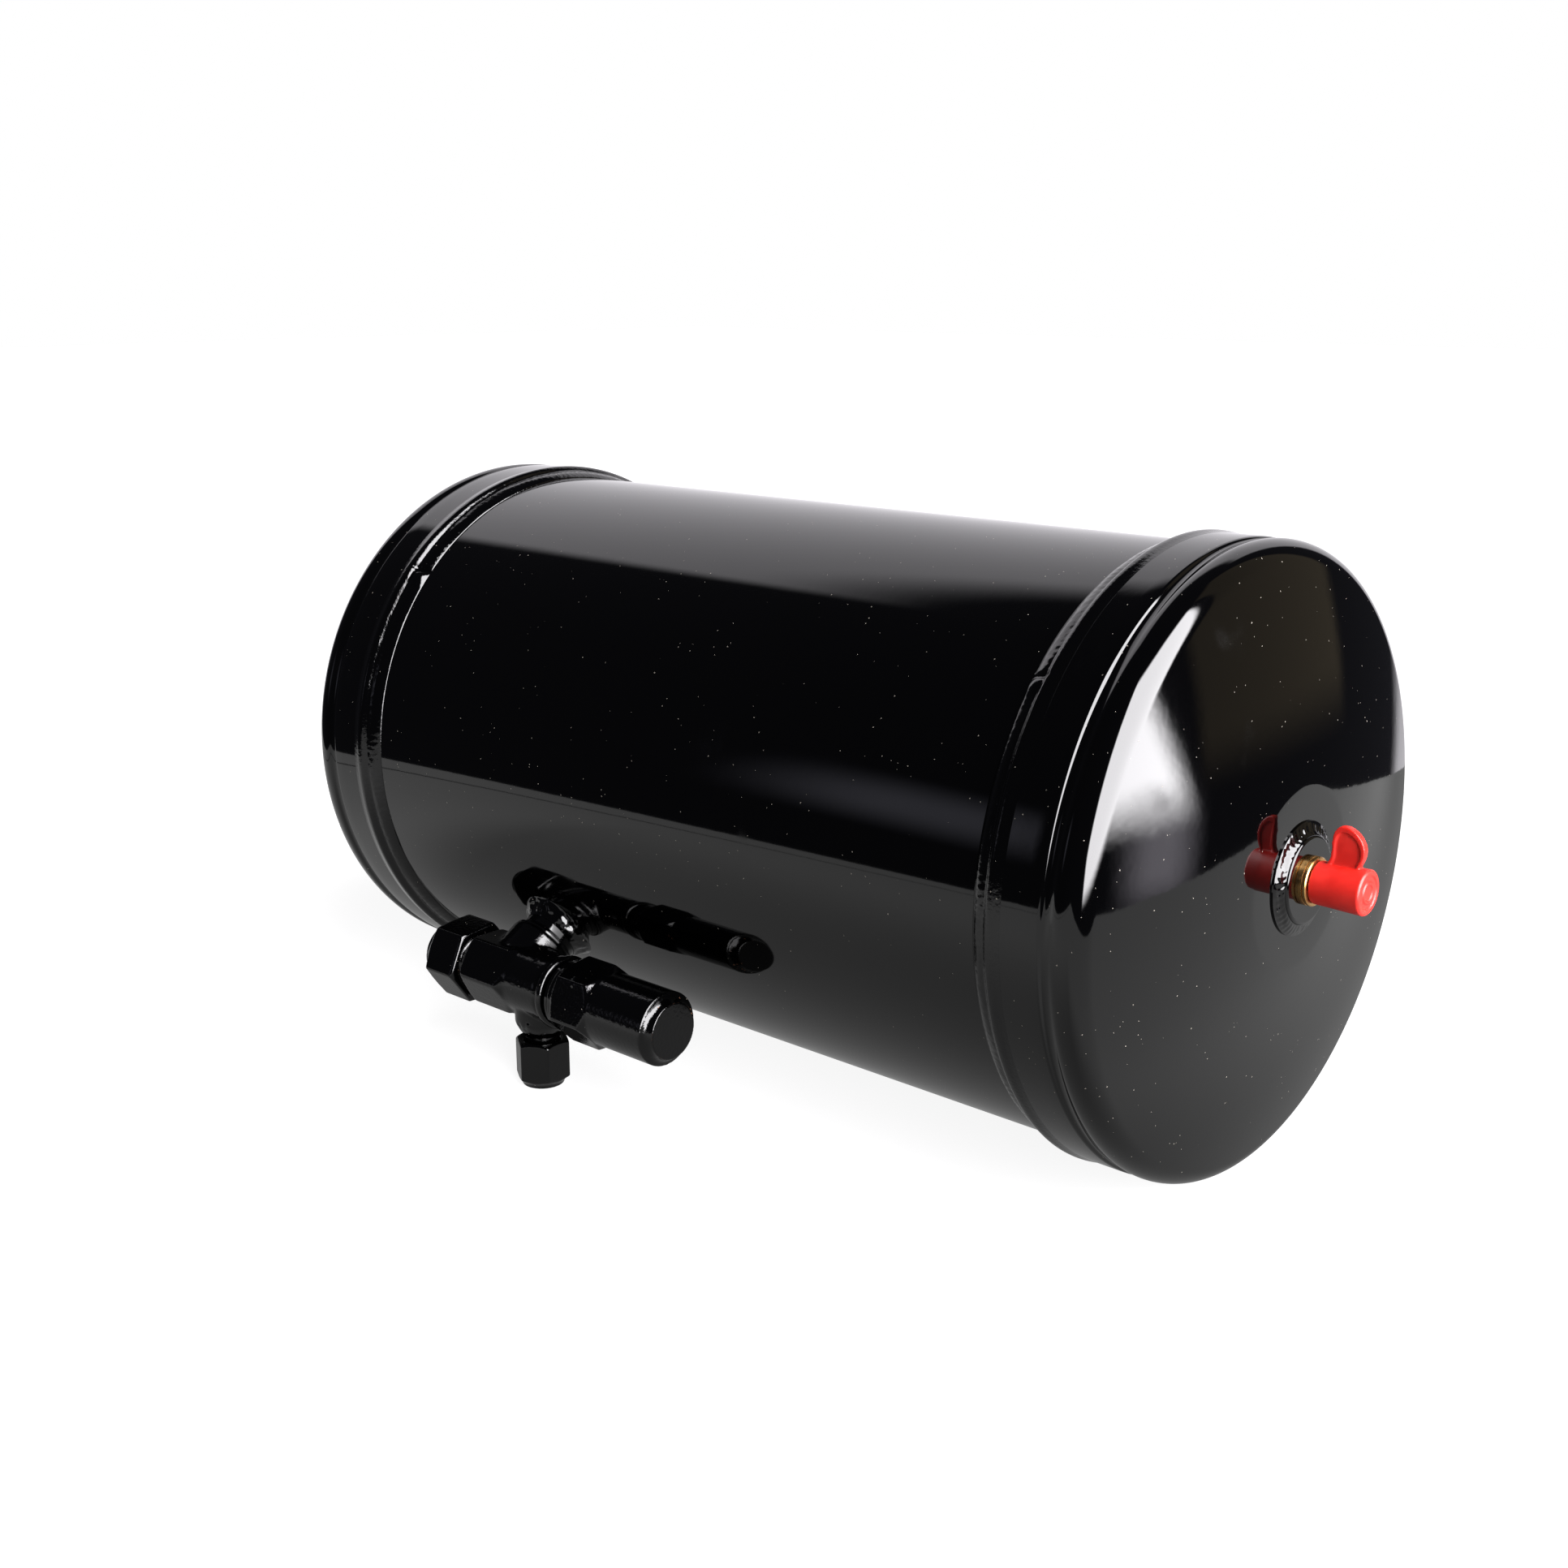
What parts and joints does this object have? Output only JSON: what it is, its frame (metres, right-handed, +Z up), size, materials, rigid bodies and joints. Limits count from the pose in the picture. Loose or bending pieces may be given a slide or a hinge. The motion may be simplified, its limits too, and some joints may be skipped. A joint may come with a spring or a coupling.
{
  "type": "hydraulic reservoir",
  "caption": "Small horizontal welded steel pressure reservoir with dished heads, a capped charging fitting and a capped service valve on a side neck.",
  "frame": {"origin": "middle of the shell, on the shell's axis", "axes": "+X along the shell to the head with the charging fitting, +Z up, the valve low on the -Y side"},
  "size_m": [0.3663, 0.2002, 0.1854],
  "materials": {
    "black_enamel": "gloss black enamel",
    "red_plastic": "soft red plastic, semi-gloss",
    "brass": "turned brass",
    "copper": "soft copper, dull",
    "bare_steel": "machined steel",
    "spring_steel": "spring wire",
    "soft_seal": "dull black seal rubber"
  },
  "bodies": {
    "root": {"shell": "black_enamel", "head_near": "black_enamel", "head_far": "black_enamel", "girth_weld_near": "black_enamel", "girth_weld_far": "black_enamel", "end_boss": "black_enamel", "boss_weld": "black_enamel", "charge_body": "brass", "charge_core": "brass", "charge_spring": "spring_steel", "neck": "black_enamel", "neck_weld": "black_enamel", "neck_braze": "black_enamel", "dip_tube": "bare_steel", "valve_body": "black_enamel", "seat_ring": "brass", "back_seat": "brass", "packing_washer": "bare_steel", "packing": "soft_seal", "gland_nut": "brass"},
    "dust_cap": {"dust_cap": "red_plastic"},
    "charge_pin": {"charge_pin": "brass", "charge_seal": "soft_seal"},
    "seat_disc": {"seat_disc": "soft_seal"},
    "stem": {"stem": "bare_steel"},
    "outlet_seal": {"outlet_seal": "copper"},
    "outlet_nut": {"outlet_nut": "black_enamel"},
    "gauge_seal": {"gauge_seal": "copper"},
    "gauge_nut": {"gauge_nut": "black_enamel"},
    "cap_gasket": {"cap_gasket": "soft_seal"},
    "stem_cap": {"stem_cap": "black_enamel"}
  },
  "joints": [
    {"name": "outlet_nut_travel", "type": "slide", "parent": "root", "child": "outlet_seal", "axis": [-1, 0, 0], "range_m": [0, 0.01589]},
    {"name": "outlet_nut_turn", "type": "hinge", "parent": "outlet_seal", "child": "outlet_nut", "pos_m": [-0.078, -0.09386, -0.05888], "axis": [-1, 0, 0], "range_deg": [0, 3600]},
    {"name": "gauge_nut_travel", "type": "slide", "parent": "root", "child": "gauge_seal", "axis": [0, 0, -1], "range_m": [0, 0.01399]},
    {"name": "gauge_nut_turn", "type": "hinge", "parent": "gauge_seal", "child": "gauge_nut", "pos_m": [-0.0407, -0.09386, -0.085], "axis": [0, 0, -1], "range_deg": [0, 3960]},
    {"name": "stem_cap_travel", "type": "slide", "parent": "root", "child": "cap_gasket", "axis": [1, 0, 0], "range_m": [0, 0.01052]},
    {"name": "stem_cap_turn", "type": "hinge", "parent": "cap_gasket", "child": "stem_cap", "pos_m": [0, -0.09386, -0.05888], "axis": [1, 0, 0], "range_deg": [0, 2520]},
    {"name": "stem_travel", "type": "slide", "parent": "root", "child": "seat_disc", "axis": [1, 0, 0], "range_m": [0, 0.00802]},
    {"name": "stem_turn", "type": "hinge", "parent": "seat_disc", "child": "stem", "pos_m": [-0.02, -0.09386, -0.05888], "axis": [1, 0, 0], "range_deg": [0, 1440]},
    {"name": "dust_cap_pull", "type": "slide", "parent": "root", "child": "dust_cap", "axis": [1, 0, 0], "range_m": [0, 0.02]},
    {"name": "charge_pin_press", "type": "slide", "parent": "root", "child": "charge_pin", "axis": [-1, 0, 0], "range_m": [0, 0.0015], "stiffness_N_per_m": 600, "springref_m": -0.003, "deforming": ["charge_spring"]}
  ],
  "couplings": [
    {"joint": "outlet_nut_travel", "follows": "outlet_nut_turn", "m_per_rad": 0.00025266},
    {"joint": "gauge_nut_travel", "follows": "gauge_nut_turn", "m_per_rad": 0.00020213},
    {"joint": "stem_cap_travel", "follows": "stem_cap_turn", "m_per_rad": 0.00023873},
    {"joint": "stem_travel", "follows": "stem_turn", "m_per_rad": 0.00031831}
  ]
}
